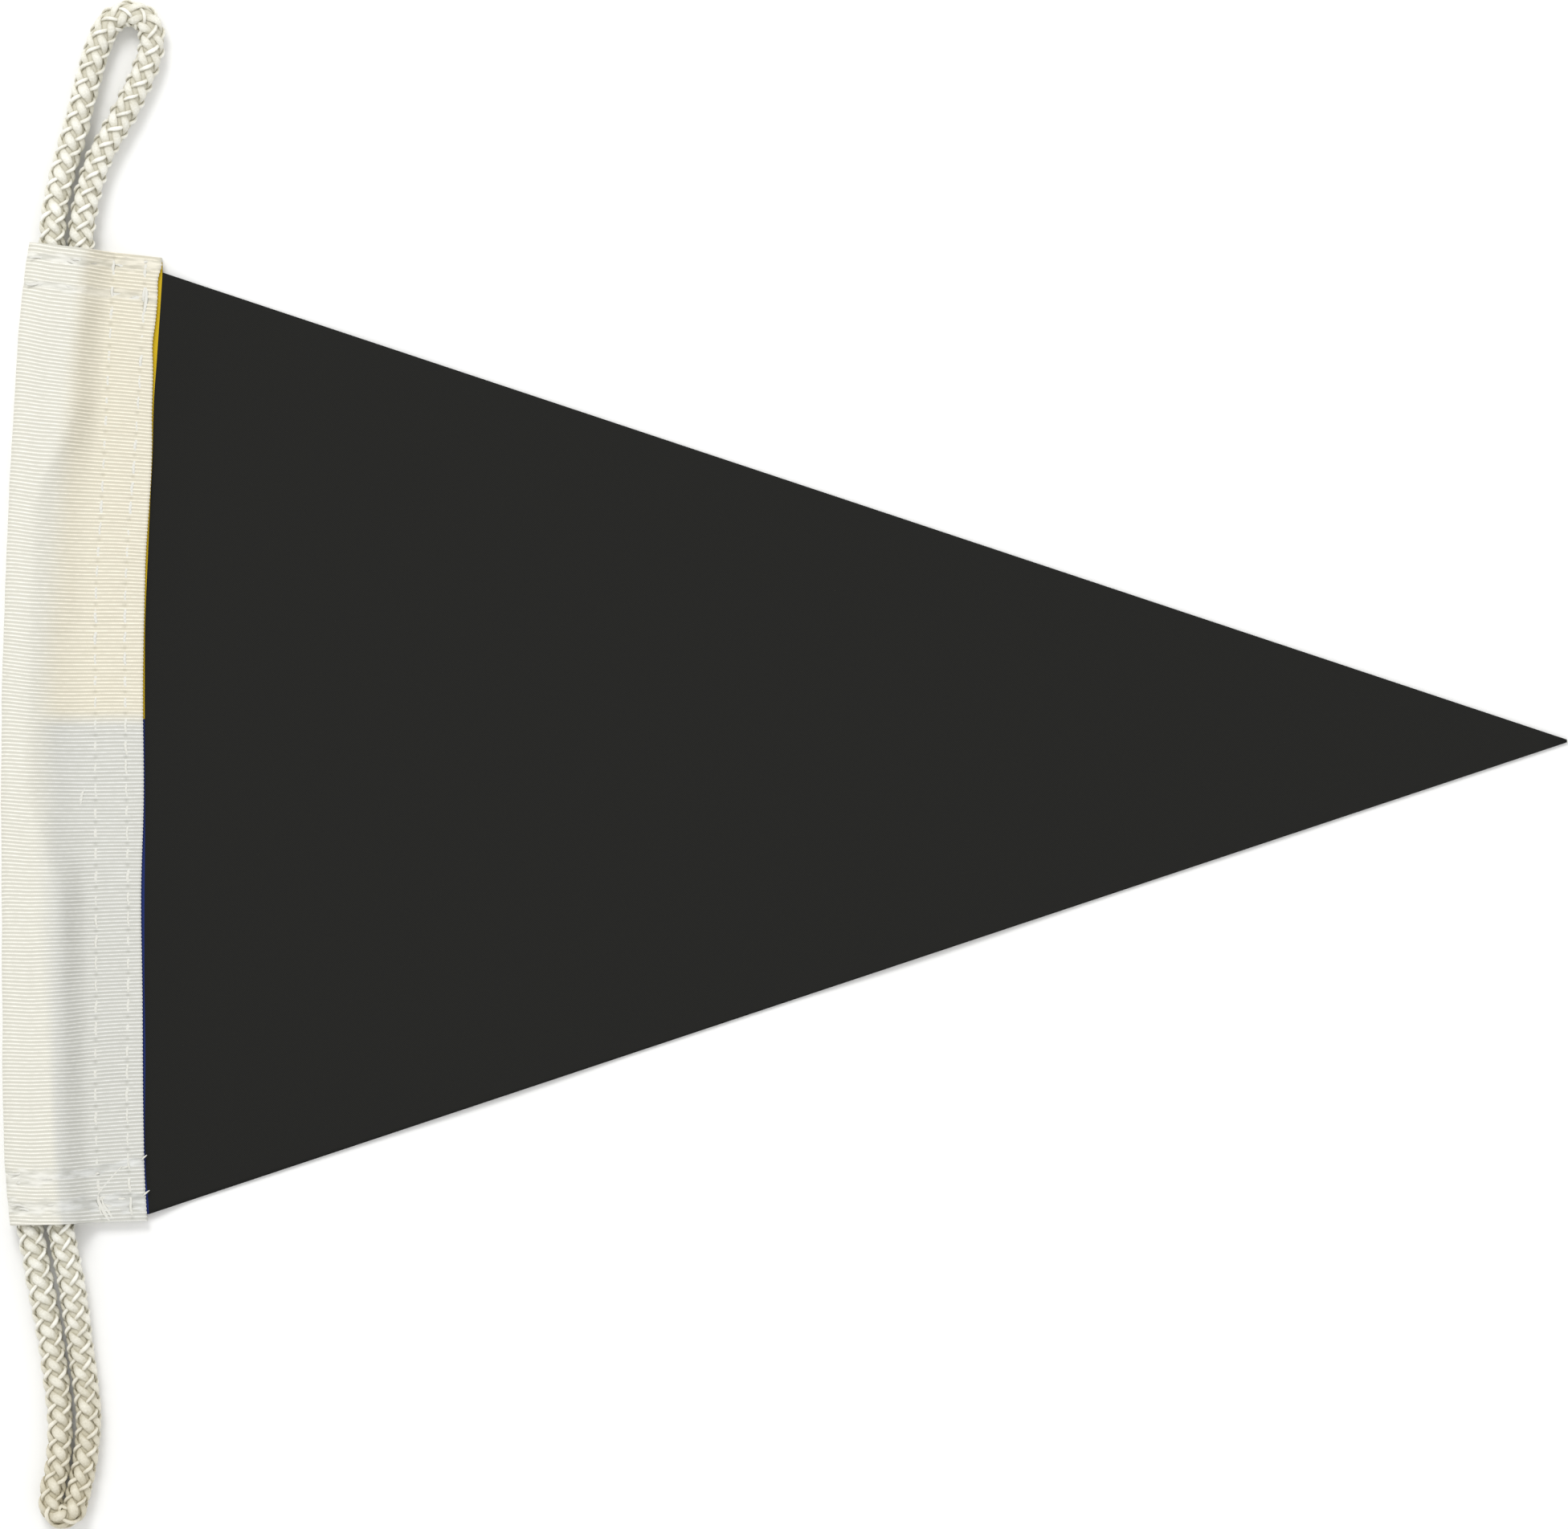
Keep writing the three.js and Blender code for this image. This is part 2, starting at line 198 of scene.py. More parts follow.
rope = {
    "route": [  # centre line from the upper tail's end to the lower tail's end
        (-152.9, 67.5, 4.3), (-151.2, 91.2, 4.3), (-149.4, 102, 4.3), (-148.5, 111, 4),
        (-145.6, 121.5, 3.3), (-139.9, 132.1, 3.15), (-135.3, 142, 3.15), (-134.1, 147.6, 3.15),
        (-135.5, 151.6, 3.15), (-139.1, 153, 3.15), (-142.6, 151.4, 3.15), (-144.8, 148, 3.15),
        (-147.7, 139, 3.15), (-150.3, 128.7, 3.15), (-153.2, 118.5, 3.5), (-154.9, 109.5, 4.2),
        (-155.3, 103.5, 4.3), (-157, 96.5, 4.3), (-158.8, 73, 4.3), (-161.2, 20, 4.3),
        (-161.6, -50, 4.3), (-160.8, -95, 4.3), (-160, -104.5, 4.3),
        (-157.8, -116.5, 3.8), (-155.3, -130.7, 3.15), (-153.6, -146, 3.15), (-154.2, -156, 3.15),
        (-155.4, -161.4, 3.15), (-155.1, -165, 3.15), (-153, -166.2, 3.15), (-150.9, -165, 3.15),
        (-149.85, -161.4, 3.15), (-148.4, -154.5, 3.15), (-147.6, -145, 3.15), (-149.25, -130.7, 3.15),
        (-151.2, -116.5, 3.7), (-153.5, -104.5, 4.3), (-154.8, -90, 4.3), (-155.2, -62, 4.3),
        (-155.4, -32.4, 4.3),
    ],
    "diameter": 6.0,
    "lay": 14.7,  # length in which a strand goes once round
    # The strands that turn one way are pulled tight and stand up narrow, with a strong painted highlight;
    # those that turn the other way lie between them as broad flat pads, with a weaker painted highlight. Each
    # pair of numbers is for the one and the other.
    "strandCentres": (2.26, 2.13),  # mean distances of a strand from the centre line
    "crossings": (0.34, 0.28),  # how far a strand rises over, or sinks under, that distance
    "halfWidths": (0.38, 0.88),
    "halfHeights": (0.36, 0.4),
    "highlightPowers": (0.8, 1.1),  # a higher power gives a narrower painted highlight on the crown
    # strength of the painted highlight for each way of strand
    "paintedHighlight": (1.0, 0.68),
    "pinch": 0.15,  # share by which a strand narrows as it dives
    "strandSides": 10,
    "coreRadius": 2.0,
    "coreSides": 14,
    # The rope lies a little flattened, wider than high, except where the lower loop's legs are drawn
    # together: rows of y and width over height
    "spread": [
        (-166, 0.98), (-156, 0.98), (-140, 1.03), (-130, 1.05), (-117, 1.1), (-106, 1.06), (-95, 1.05),
    ],
    "freeStep": 0.46,  # spacing of the sections on the loops
    "sleeveStep": 1.25,  # and inside the heading
    "mouthReach": 8,  # how far inside the heading's mouths the loops' spacing is kept
    # Rows of length along the rope and the angle by which the whole braid is turned there
    "twist": [(0, 0), (60, 0), (95, 0.2), (125, 0.8), (380, 0.8), (440, 0.5), (470, 0.4), (554, 0.3)],
    "wanderLength": 8,  # of the slow waves in which a strand strays
    "wanderTurn": 0.1,  # round the rope, in radians
    "wanderDepth": 0.05,  # in and out
    "wanderBreadth": 0.12,  # share of its breadth
    "patchLength": 4,  # of the shorter waves in which a strand is broader in places, and its painted highlight stronger
    "patchBreadth": 0.08,
    # how much stronger the painted highlight is on a patch
    "patchPaintedHighlight": 0.22,
    "filaments": (8, 405),  # marks across a strand and along it, each about 0.2 by 1.9 mm
}


def routeLine(points, perSpan=60):
    # Centripetal Catmull-Rom: each span is a cubic through its two ends whose slopes come from the
    # neighbouring points, with spans timed by the square root of their length
    p = np.array(points, float)
    p = np.vstack([2 * p[0] - p[1], p, 2 * p[-1] - p[-2]])
    time = np.sqrt(np.linalg.norm(np.diff(p, axis=0), axis=1))[:, None]
    before, own, after = time[:-2], time[1:-1], time[2:]
    a, b, c, d = p[:-3], p[1:-2], p[2:-1], p[3:]
    leave = ((b - a) / before - (c - a) / (before + own) + (c - b) / own) * own
    arrive = ((c - b) / own - (d - b) / (own + after) + (d - c) / after) * own
    t = np.linspace(0, 1, perSpan, endpoint=False)[:, None, None]
    line = b + leave * t + (3 * (c - b) - 2 * leave - arrive) * t**2 + (2 * (b - c) + leave + arrive) * t**3
    return np.vstack([line.transpose(1, 0, 2).reshape(-1, 3), p[-2]])


def ropeStations(line):
    # Sections close together on the free loops and wider apart inside the heading
    piece = np.linalg.norm(np.diff(line, axis=0), axis=1)
    length = np.concatenate([[0], np.cumsum(piece)])
    inside = np.abs(line[:, 1]) < heading["top"] - rope["mouthReach"]
    step = np.where(inside, rope["sleeveStep"], rope["freeStep"])
    count = np.concatenate([[0], np.cumsum(piece / step[1:])])
    stations = np.interp(np.linspace(0, count[-1], int(count[-1])), count, length)
    centres = np.stack([np.interp(stations, length, line[:, k]) for k in range(3)], 1)
    return stations, centres


def ropeParts():
    # A strand's centre goes round the rope at angle 2 pi s / lay, one way or the other, at a distance
    # that rises and sinks by cos(4 angle), so that it passes over and under the strands it meets.
    # Its lift is the painted light and shade: highest, as a painted highlight, on the crown of a strand that
    # lies on top, lower as painted shade where a strand dives under, and 0 on the core, painted as the shade
    # between strands. Each strand reads its wander and patches on a line of its own, 40 and 60 mm from the
    # next.
    stations, centres = ropeStations(routeLine(rope["route"]))
    tangent = unit(np.gradient(centres, stations, axis=0))
    side = unit(np.cross(up, tangent))
    over = np.cross(tangent, side)
    side = side * np.interp(centres[:, 1], *zip(*rope["spread"]))[:, None]
    way = np.repeat([1, -1], 4)[:, None]
    wander = drift(stations, 40.0 * np.arange(8)[:, None], rope["wanderLength"], 3)
    patches = drift(stations, 60.0 * np.arange(8)[:, None], rope["patchLength"], 13)
    turn = way * 2 * np.pi * stations / rope["lay"] + np.tile(np.arange(4) * np.pi / 2, 2)[:, None]
    angle = (turn + np.interp(stations, *zip(*rope["twist"])) + rope["wanderTurn"] * wander)[..., None]
    wave = way * np.cos(4 * turn)
    keys = ("strandCentres", "crossings", "halfWidths", "halfHeights", "highlightPowers", "paintedHighlight")
    middle, crossing, halfWidth, halfHeight, power, paintedHighlight = (np.where(way > 0, *rope[key]) for key in keys)
    distance = middle + crossing * wave * (1.2 - 0.2 * wave**2) + rope["wanderDepth"] * wander
    outward = np.cos(angle) * side + np.sin(angle) * over
    strandCentres = centres + distance[..., None] * outward
    forward = unit(np.gradient(strandCentres, axis=1))
    flat = unit(np.cross(outward, forward))
    standing = np.cross(forward, flat)
    breadth = 1 + rope["pinch"] * wave + rope["wanderBreadth"] * wander + rope["patchBreadth"] * patches
    strands = sweep(strandCentres, flat, standing, halfWidth * breadth, halfHeight, rope["strandSides"])
    coarse = slice(None, None, 3)
    core = sweep(centres[None, coarse], side[None, coarse], over[None, coarse],
                 rope["coreRadius"], rope["coreRadius"], rope["coreSides"])
    # Painted light and shade: a painted highlight on the outer crown of each strand, painted shade on its
    # sides and inner face, on strands where they dive under, and on the core
    crown = np.maximum(np.sin(np.arange(rope["strandSides"]) * 2 * np.pi / rope["strandSides"]), 0)
    lift = (0.55 + 0.45 * wave) * paintedHighlight * (1 + rope["patchPaintedHighlight"] * patches)
    lift = lift[..., None] * (0.2 + 0.8 * crown ** power[..., None])
    lift = np.concatenate([lift.ravel(), np.zeros(len(core[0]))])
    return joinParts([strands, core]), lift, centres, stations[-1]


# Heading: a ribbed tape folded over the rope and sewn to the cloth

heading = {
    "top": 104.3,
    "length": 208.6,
    "thickness": 0.8,
    "ribs": 262,
    "rowsPerRib": 4,
    "ribHeight": 0.15,
    "ribSharpness": 1.5,  # a higher power gives narrower ribs and wider grooves
    "ribWander": 0.16,  # how far the ribs stray off straight
    "foldLean": 0.45,  # how far they bend up as they come to the folded side
    "weaveBreadth": 66,  # of tape, from one open edge round to the other, for the weave's pattern
    "lowerRelief": 0.6,  # share of the relief that the layer underneath has
    "foldRelief": 0.55,  # and that the folded side has
    "foldRadius": 3.8,  # of the middle of the tape, about the rope
    "foldHeight": 4.3,  # of the rope's centre, and its inset from the folded side
    "foldColumns": 17,
    "lowerColumns": 8,
    "upperColumns": [(0, 0), (0.56, 17), (0.65, 9), (0.83, 6), (0.92, 9), (1, 3)],  # share, columns to it
    "innerShare": 4,  # the inner face has one column for this many outside
    "seamHeight": 2.1,  # middle of the upper layer where it lies on the cloth
    "foot": 17.3,  # inset of the point that the tape heads for as it leaves the rope
    "landing": 1.4,  # how far past that point it lies level
    "oneStrand": 4.8,  # inset of the last rope strand under the tape
    "twoStrands": 10.7,
    "upperTail": (34, 58),  # distances from the top over which two strands become one
    "lowerTail": (116, 140),
    "wander": 0.1,  # how uneven the tape lies
    "outline": [  # distance from the top, x of the fold, x of the open edge, fall of a rib
        (0, -160.15, -132.1, 3.2), (3, -160.7, -132.2, 3.2), (8, -161.4, -132.4, 3.15),
        (20, -162.5, -133.2, 2.9), (34, -163.4, -133.8, 2.4), (50, -164.3, -134.6, 1.7),
        (68, -165.1, -135.5, 1), (93, -165.9, -136.2, 0.3), (119, -166.2, -136.2, -0.2),
        (136, -166.1, -136.4, -0.7), (162, -165.9, -136.1, -1.4), (187, -165.7, -135.9, -1.5),
        (204, -164.8, -135.3, -1.2), (208.6, -164.3, -135.2, -0.9),
    ],
    "edgeShift": [  # how far the open edge wanders off that outline
        (0, 0), (2, 0), (3.2, -0.35), (4.4, -0.6), (8, -0.6), (14, -0.7), (18, -0.95), (24, -0.6), (34, -0.4),
        (42, 0), (68, -0.1), (76, 0), (93, 0.1), (119, 0.25), (140, -0.1), (162, -0.1),
        (190, -0.15), (200, -0.3), (204, -0.2), (208.6, 0),
    ],
    "tintEdge": [  # distance from the top, inset where the cloth's tint begins, half its softness
        (0, 12.5, 1.5), (40, 11.5, 2.5), (104, 9.5, 3.5), (150, 10, 2.5), (180, 10.8, 0.9), (208.6, 11, 0.6),
    ],
}

# Sewing: two lockstitch rows along the seam and two bands of back stitches across each end

sewing = {
    "pitch": 4.7,
    "firstHole": 1.2,
    "leftRow": [(0, 18.2), (9, 19.0), (32, 19.6), (58, 19.6), (71, 19.3), (102, 19.9), (208.6, 19.5)],
    "rightRow": [(0, 25.0), (9, 25.8), (40, 26.2), (71, 25.5), (102, 26.3), (130, 26.8), (208.6, 26.0)],
    "bands": [  # inset, distance from the top, half width
        [(0, 2.9, 0.6), (4, 2.6, 0.7), (10, 2.9, 0.8), (16, 2.6, 0.8), (21, 2.1, 1.2), (29, 1.7, 1.4)],
        [(0, 8.8, 0.6), (5, 8.4, 0.7), (10, 8.9, 0.8), (19, 8.8, 1.0), (24, 8.5, 1.1), (30, 8.6, 1.0)],
        [(0, 198.9, 1.7), (9, 198.5, 1.6), (12, 198.4, 0.9), (17, 198.3, 0.8), (21, 197.7, 0.8),
         (30, 196.2, 1)],
        [(0, 204.8, 1.5), (8, 205.1, 1.4), (13, 204.8, 1.1), (18, 204.6, 1.3), (23, 204.4, 1.6),
         (30, 205.3, 1.2)],
    ],
    "pressedDepth": 0.08,  # to which the back stitches press the tape
    "pressedRoughness": 0.12,
    "trough": 0.07,  # depth to which a row draws the tape in
    "holeDepth": 0.16,
    "stitchLength": 3.9,
    "threadHalfWidth": 0.3,
    "threadHalfHeight": 0.08,
    "bandHalfWidth": 0.46,
    "bandHalfHeight": 0.05,
}


def headingFrame(down):
    # For distances from the top: the folded side's x and y, the ribs' direction and the tape's width
    fold, edge, fall = np.moveaxis(smoothTable(heading["outline"], down), -1, 0)
    edge = edge + smoothTable(heading["edgeShift"], down)[..., 0]
    width = np.hypot(edge - fold, fall)
    return fold, heading["top"] - down, (edge - fold) / width, -fall / width, width


def lastStrand(down):
    single = ease(*heading["upperTail"], down) * (1 - ease(*heading["lowerTail"], down))
    return mix(heading["twoStrands"], heading["oneStrand"], single)


def upperHeight(inset, strand):
    # Height of the tape's middle: level over the strands, an arc round the last one, then a cubic that
    # leaves the arc on its tangent through the foot and lands level at the seam
    radius, centre, seam = heading["foldRadius"], heading["foldHeight"], heading["seamHeight"]
    run, fall = heading["foot"] - strand, centre - seam
    turn = np.arcsin(radius / np.hypot(run, fall)) + np.arctan(fall / run)
    leave = strand + radius * np.sin(turn)
    high = centre + radius * np.cos(turn)
    span = heading["foot"] + heading["landing"] - leave
    arc = centre + np.sqrt(np.maximum(radius**2 - np.maximum(inset - strand, 0) ** 2, 0.01))
    t = np.clip((inset - leave) / span, 0, 1)
    cubic = (high * (1 - 3 * t**2 + 2 * t**3) + seam * (3 * t**2 - 2 * t**3)
             - np.tan(turn) * span * (t - 2 * t**2 + t**3))
    return np.where(inset < leave, arc, cubic)


def headingLine(rows):
    # The tape's middle line for each row, from the lower open edge round the fold to the upper one
    fold, top, alongX, alongY, width = (value[:, None] for value in headingFrame(rows))
    radius, centre = heading["foldRadius"], heading["foldHeight"]
    lower = np.linspace(1, 0, heading["lowerColumns"], endpoint=False)
    turn = np.linspace(np.pi, 0, heading["foldColumns"])
    shares, counts = np.array(heading["upperColumns"], float).T
    upper = np.interp(np.arange(1, counts.sum() + 1), np.cumsum(counts), shares)
    upperInset = mix(centre, width, upper)
    inset = np.hstack([mix(centre, width, lower), centre - radius * np.sin(turn) + 0 * width, upperInset])
    height = np.hstack([centre - radius + 0 * lower + 0 * width, centre + radius * np.cos(turn) + 0 * width,
                        upperHeight(upperInset, lastStrand(rows)[:, None])])
    return inset, height, (fold, top, alongX, alongY, width)


def bandMask(down, inset):
    # 1 where back stitches press the ribs flat, 0 elsewhere
    mask = 0
    for k, band in enumerate(sewing["bands"]):
        middle, half = np.moveaxis(smoothTable(band, inset), -1, 0)
        away = np.abs(down - middle) / half + 0.3 * drift(inset, down * 1.5, 3.5, 20 + k)
        mask = np.maximum(mask, 1 - ease(0.7, 1.3, away))
    return mask


def rowMasks(down, inset):
    # How near a point is to a lockstitch row, and to one of its needle holes
    near, hole = 0, 0
    for key in ("leftRow", "rightRow"):
        offset = inset - smoothTable(sewing[key], down)[..., 0]
        share = (down - sewing["firstHole"]) / sewing["pitch"]
        step = (share - np.round(share)) * sewing["pitch"]
        near = np.maximum(near, np.exp(-(offset / 0.6) ** 2))
        hole = np.maximum(hole, np.exp(-(offset / 0.4) ** 2 - (step / 0.4) ** 2))
    return near, hole


def headingParts():
    # Points are the middle line pushed out by half the thickness and the ribs' height, and in by half
    # the thickness. A rib's height is ((1 + cos(2 pi down / pitch)) / 2) to a power.
    rows = np.linspace(0, heading["length"], heading["ribs"] * heading["rowsPerRib"] + 1)
    inset, height, (fold, top, alongX, alongY, width) = headingLine(rows)
    across = np.gradient(inset, axis=1)
    rise = np.gradient(height, axis=1)
    size = np.hypot(across, rise)
    outX, outZ = -rise / size, across / size
    along = np.cumsum(size, axis=1)
    down = rows[:, None] + 0 * inset
    upper = np.zeros(inset.shape[1])
    upper[heading["lowerColumns"] + heading["foldColumns"] // 2:] = 1
    lean = heading["ribWander"] * drift(along, down, 26, 5) + heading["foldLean"] * ease(7, 0, inset) * upper
    ribs = (down + lean) * heading["ribs"] / heading["length"]
    crest = ((1 + np.cos(2 * np.pi * ribs)) / 2) ** heading["ribSharpness"]
    pressed = bandMask(down, inset) * upper
    near, hole = (mask * upper for mask in rowMasks(down, inset))
    loose = ease(1, 6, height - heading["seamHeight"] + 3) * upper
    uneven = 0.75 + 0.25 * drift(along, down * 2, 9, 6)
    relief = heading["ribHeight"] * (crest * uneven - 0.35) * (1 - 0.85 * pressed) * (1 - 0.6 * near**3)
    relief += (sewing["pressedRoughness"] * pressed * drift(inset, down * 1.6, 2.6, 11)
               - sewing["pressedDepth"] * pressed)
    relief += heading["wander"] * loose * (drift(along, down, 17, 7) + 0.5 * drift(along, down, 7, 8))
    relief -= sewing["trough"] * near + sewing["holeDepth"] * hole
    relief *= mix(heading["lowerRelief"], 1, upper) * mix(heading["foldRelief"], 1, ease(5, 13, inset))
    edge = ease(-1.2, 0, inset - width)
    outset = 0.5 * heading["thickness"] + relief
    reach = inset + 0.12 * edge * (crest - 0.4)
    out = np.stack([fold + alongX * (reach + outX * outset), top + alongY * (reach + outX * outset),
                    height + outZ * outset], -1)
    thin = slice(None, None, heading["innerShare"])
    back = -0.5 * heading["thickness"]
    inner = np.stack([fold + alongX * (reach + outX * back), top + alongY * (reach + outX * back),
                      height + outZ * back], -1)[:, thin]
    uv = np.stack([along / along[:, -1:], ribs / heading["ribs"]], -1)
    tintStart, soft = np.moveaxis(smoothTable(heading["tintEdge"], down), -1, 0)
    tint = ease(-1, 1, (inset - tintStart) / soft) * upper
    values = {"pressed": pressed, "hole": hole, "tint": tint}
    values = {key: np.concatenate([v.ravel(), v[:, thin].ravel()]) for key, v in values.items()}
    uvs = np.concatenate([uv.reshape(-1, 2), uv[:, thin].reshape(-1, 2)])
    quads, caps = headingFaces(*out.shape[:2], inner.shape[1])
    points = np.concatenate([out.reshape(-1, 3), inner.reshape(-1, 3)])
    return points, quads, caps, uvs, values


def headingFaces(rows, outer, inner):
    # The outer grid, the inner grid turned round, the two open edges and the two ends
    share = heading["innerShare"]
    out = np.arange(rows * outer).reshape(rows, outer)
    back = np.arange(rows * inner).reshape(rows, inner) + rows * outer
    edges = []
    for above, below in ((back[:, 0], out[:, 0]), (out[:, -1], back[:, -1])):
        edges.append(np.stack([above[:-1], above[1:], below[1:], below[:-1]], -1))
    quads = np.concatenate([gridQuads(rows, outer), gridQuads(rows, inner, rows * outer)[:, ::-1], *edges])
    near = out[:, np.arange(inner - 1)[:, None] * share + np.arange(share + 1)]
    startCap = np.hstack([near[0], back[0, 1:, None], back[0, :-1, None]])
    endCap = np.hstack([near[-1], back[-1, 1:, None], back[-1, :-1, None]])[:, ::-1]
    return quads, startCap.tolist() + endCap.tolist()


def onHeading(down, inset, lift):
    # A point on the tape's upper face, raised by lift
    fold, top, alongX, alongY, width = headingFrame(down)
    height = upperHeight(inset, lastStrand(down)) + 0.5 * heading["thickness"]
    return np.stack([fold + alongX * inset, top + alongY * inset, height + lift], -1)


# Cloth: knitted polyester, heat cut, yellow and navy where it shows beside the heading

cloth = {
    "thickness": 0.5,
    "hoistTop": 98.0,
    "hoistBottom": -102.0,
    "facingTop": 100.2,
    "pointX": 166.3,
    "pointY": -1.5,
    "pointWidth": 0.6,
    "hiddenX": -151.3,
    "seamHeight": 1.3,  # of the cloth's middle between the two layers of the tape
    "restHeight": 0.3,
    "seamDrop": 10.0,
    "rows": 201,
    "hiddenColumns": 10,
    "openColumns": 90,
    "changeGap": 0.03,  # from the line where the black begins to the column of points on each side
    "mapSpan": 320,  # mm of cloth that the UV square covers
    "mapLow": -110,  # y of its lower side
    "swell": 0.35,  # how far the cloth stands off the surface in places
    "loopSpacing": 0.5,  # of the knit as it is drawn
    "colourChange": 3.2,  # the facing is yellow above this y and navy below
    "blackStart": [  # y, x where the black begins
        (-102, -134.85), (-98, -135.1), (-95, -135.4), (-90, -135.6), (-67, -135.6), (-51, -135.8),
        (-36, -135.8), (-20, -135.65), (9, -135.75), (23, -135.65), (36.5, -135.1), (50, -134.5),
        (57, -134.15), (70.6, -133.75), (77.5, -133.25), (84, -132.8), (90, -132.4), (98, -131.95),
        (100.2, -131.9),
    ],
}


def clothParts():
    # Each line of the grid runs from the hidden edge to the facing's end at a share of its height, and
    # on to the point at the same share of the triangle's height there
    share = np.linspace(0, 1, cloth["rows"])[:, None]
    facingY = mix(cloth["facingTop"], cloth["hoistBottom"], share)
    hoistY = mix(cloth["hoistTop"], cloth["hoistBottom"], share)
    start = smoothTable(cloth["blackStart"], hoistY[:, 0])
    hidden = mix(cloth["hiddenX"], start - cloth["changeGap"], np.linspace(0, 1, cloth["hiddenColumns"]))
    spread = np.linspace(0, 1, cloth["openColumns"]) ** 1.7
    opened = mix(start + cloth["changeGap"], cloth["pointX"], spread)
    top = mix(cloth["hoistTop"], cloth["pointY"] + cloth["pointWidth"] / 2, spread)
    bottom = mix(cloth["hoistBottom"], cloth["pointY"] - cloth["pointWidth"] / 2, spread)
    x = np.hstack([hidden, opened])
    y = np.hstack([facingY + 0 * hidden, mix(top, bottom, share)])
    past = x - start
    height = mix(cloth["seamHeight"], cloth["restHeight"], ease(-0.5, cloth["seamDrop"], past))
    calm = ease(4, 40, past) * ease(cloth["pointX"], cloth["pointX"] - 60, x)
    height = height + cloth["swell"] * calm * np.maximum(drift(x, y, 95, 31), 0)
    flatPlace = np.stack([x - cloth["hiddenX"], y - cloth["mapLow"]], -1) / cloth["mapSpan"]
    half = cloth["thickness"] / 2
    faces = [np.stack([x, y, height + side * half], -1) for side in (1, -1)]
    return faces, flatPlace, past


def clothPiece(material):
    (upperFace, lowerFace), flatPlace, past = clothParts()
    rows, columns = past.shape
    over = np.arange(rows * columns).reshape(rows, columns)
    under = over + rows * columns
    rims = [(over[0], under[0]), (under[-1], over[-1]),
            (under[:, 0], over[:, 0]), (over[:, -1], under[:, -1])]
    sides = [np.stack([a[:-1], a[1:], b[1:], b[:-1]], -1) for a, b in rims]
    quads = np.concatenate([gridQuads(rows, columns), gridQuads(rows, columns, over.size)[:, ::-1], *sides])
    points = np.concatenate([upperFace.reshape(-1, 3), lowerFace.reshape(-1, 3)])
    uv = np.tile(flatPlace.reshape(-1, 2), (2, 1))
    return makePiece("cloth", points, quads, [], uv, {"past": np.tile(past.ravel(), 2)}, material)


# Threads: stitches and loose ends as short swept arches

def threads(down, inset, lift, halfWidth, halfHeight, sides=6):
    centres = onHeading(down, inset, lift)
    forward = unit(np.gradient(centres, axis=1))
    flat = unit(np.cross(up, forward))
    return sweep(centres, flat, np.cross(forward, flat), halfWidth, halfHeight, sides)


def seamStitches():
    # Each stitch rises out of one needle hole, lies over about three ribs and dips into the next
    t = np.linspace(0, 1, 11)
    parts = []
    for seed, key in ((41, "leftRow"), (42, "rightRow")):
        chance = np.random.default_rng(seed)
        first = np.arange(sewing["firstHole"], heading["length"] - sewing["pitch"], sewing["pitch"])[:, None]
        lean, fat = chance.uniform(-0.18, 0.18, first.shape), chance.uniform(0.75, 1.3, first.shape)
        down = first + 0.4 + sewing["stitchLength"] * t
        inset = smoothTable(sewing[key], down)[..., 0] + lean * (2 * t - 1) + 0.08 * np.sin(9 * t)
        lift = -0.32 + 0.25 * np.sin(np.pi * t) ** 0.45 + 0.04 * drift(down, inset, 1.7, seed)
        bulge = 0.75 + 0.25 * np.sin(np.pi * t)
        parts.append(threads(down, inset, lift, sewing["threadHalfWidth"] * bulge * fat,
                             sewing["threadHalfHeight"] * bulge, 8))
    return parts


def bandStitches():
    # Two passes of stitches along each band, each a little off its line and sunk in the tape
    t = np.linspace(0, 1, 13)
    parts = []
    for seed, band in enumerate(sewing["bands"], 51):
        chance = np.random.default_rng(seed)
        first = np.concatenate([np.arange(0.8, 24, 4.3), np.arange(2.6, 24, 5.1)])[:, None]
        ranges = ((-0.7, 0.7), (-0.5, 0.5), (0.6, 1.2))
        shift, lean, fat = (chance.uniform(*ends, first.shape) for ends in ranges)
        inset = first + chance.uniform(3.2, 5.4, first.shape) * t
        middle, half = np.moveaxis(smoothTable(band, inset), -1, 0)
        down = middle + half * shift + lean * (t - 0.5) + 0.15 * np.sin(7 * t + 6 * lean)
        lift = -0.41 + 0.25 * np.sin(np.pi * t) ** 0.4
        bulge = 0.45 + 0.55 * np.sin(np.pi * t)
        parts.append(threads(down, inset, lift, sewing["bandHalfWidth"] * bulge * fat,
                             sewing["bandHalfHeight"] * bulge))
    return parts


looseThreads = [  # lines of (distance from the top, inset, lift), and a half width
    ([(114.6, 18.2, -0.2), (116.3, 17.5, 0.02), (118.0, 16.9, 0.02), (119.4, 16.4, -0.1)], 0.36),
    ([(116.2, 17.8, -0.1), (117.4, 17.2, 0.04), (118.8, 17.0, 0.02), (119.9, 16.7, -0.1)], 0.3),
    ([(196.9, 25.2, -0.1), (198.6, 23.4, -0.03), (200.4, 21.6, -0.05), (202.2, 19.9, -0.05),
      (203.2, 19.2, -0.12)], 0.24),
    ([(203.0, 19.3, -0.12), (204.4, 19.3, -0.05), (206.0, 20.0, -0.05), (207.6, 20.7, -0.06),
      (208.5, 21.2, -0.12)], 0.5),
    ([(203.6, 20.0, -0.12), (205.2, 20.3, -0.05), (206.8, 21.3, -0.05), (208.3, 22.0, -0.12)], 0.36),
    ([(13.6, 26.0, -0.2), (11.6, 26.2, -0.04), (9.6, 26.3, -0.02), (7.6, 26.2, -0.04), (6.4, 25.9, -0.2)],
     0.42),
    ([(196.2, 29.0, 0.1), (195.7, 29.5, 0.2), (195.2, 30.2, -0.3)], 0.2),
    ([(203.6, 28.8, 0.1), (203.1, 29.4, 0.2), (202.5, 30.3, -0.3)], 0.2),
]


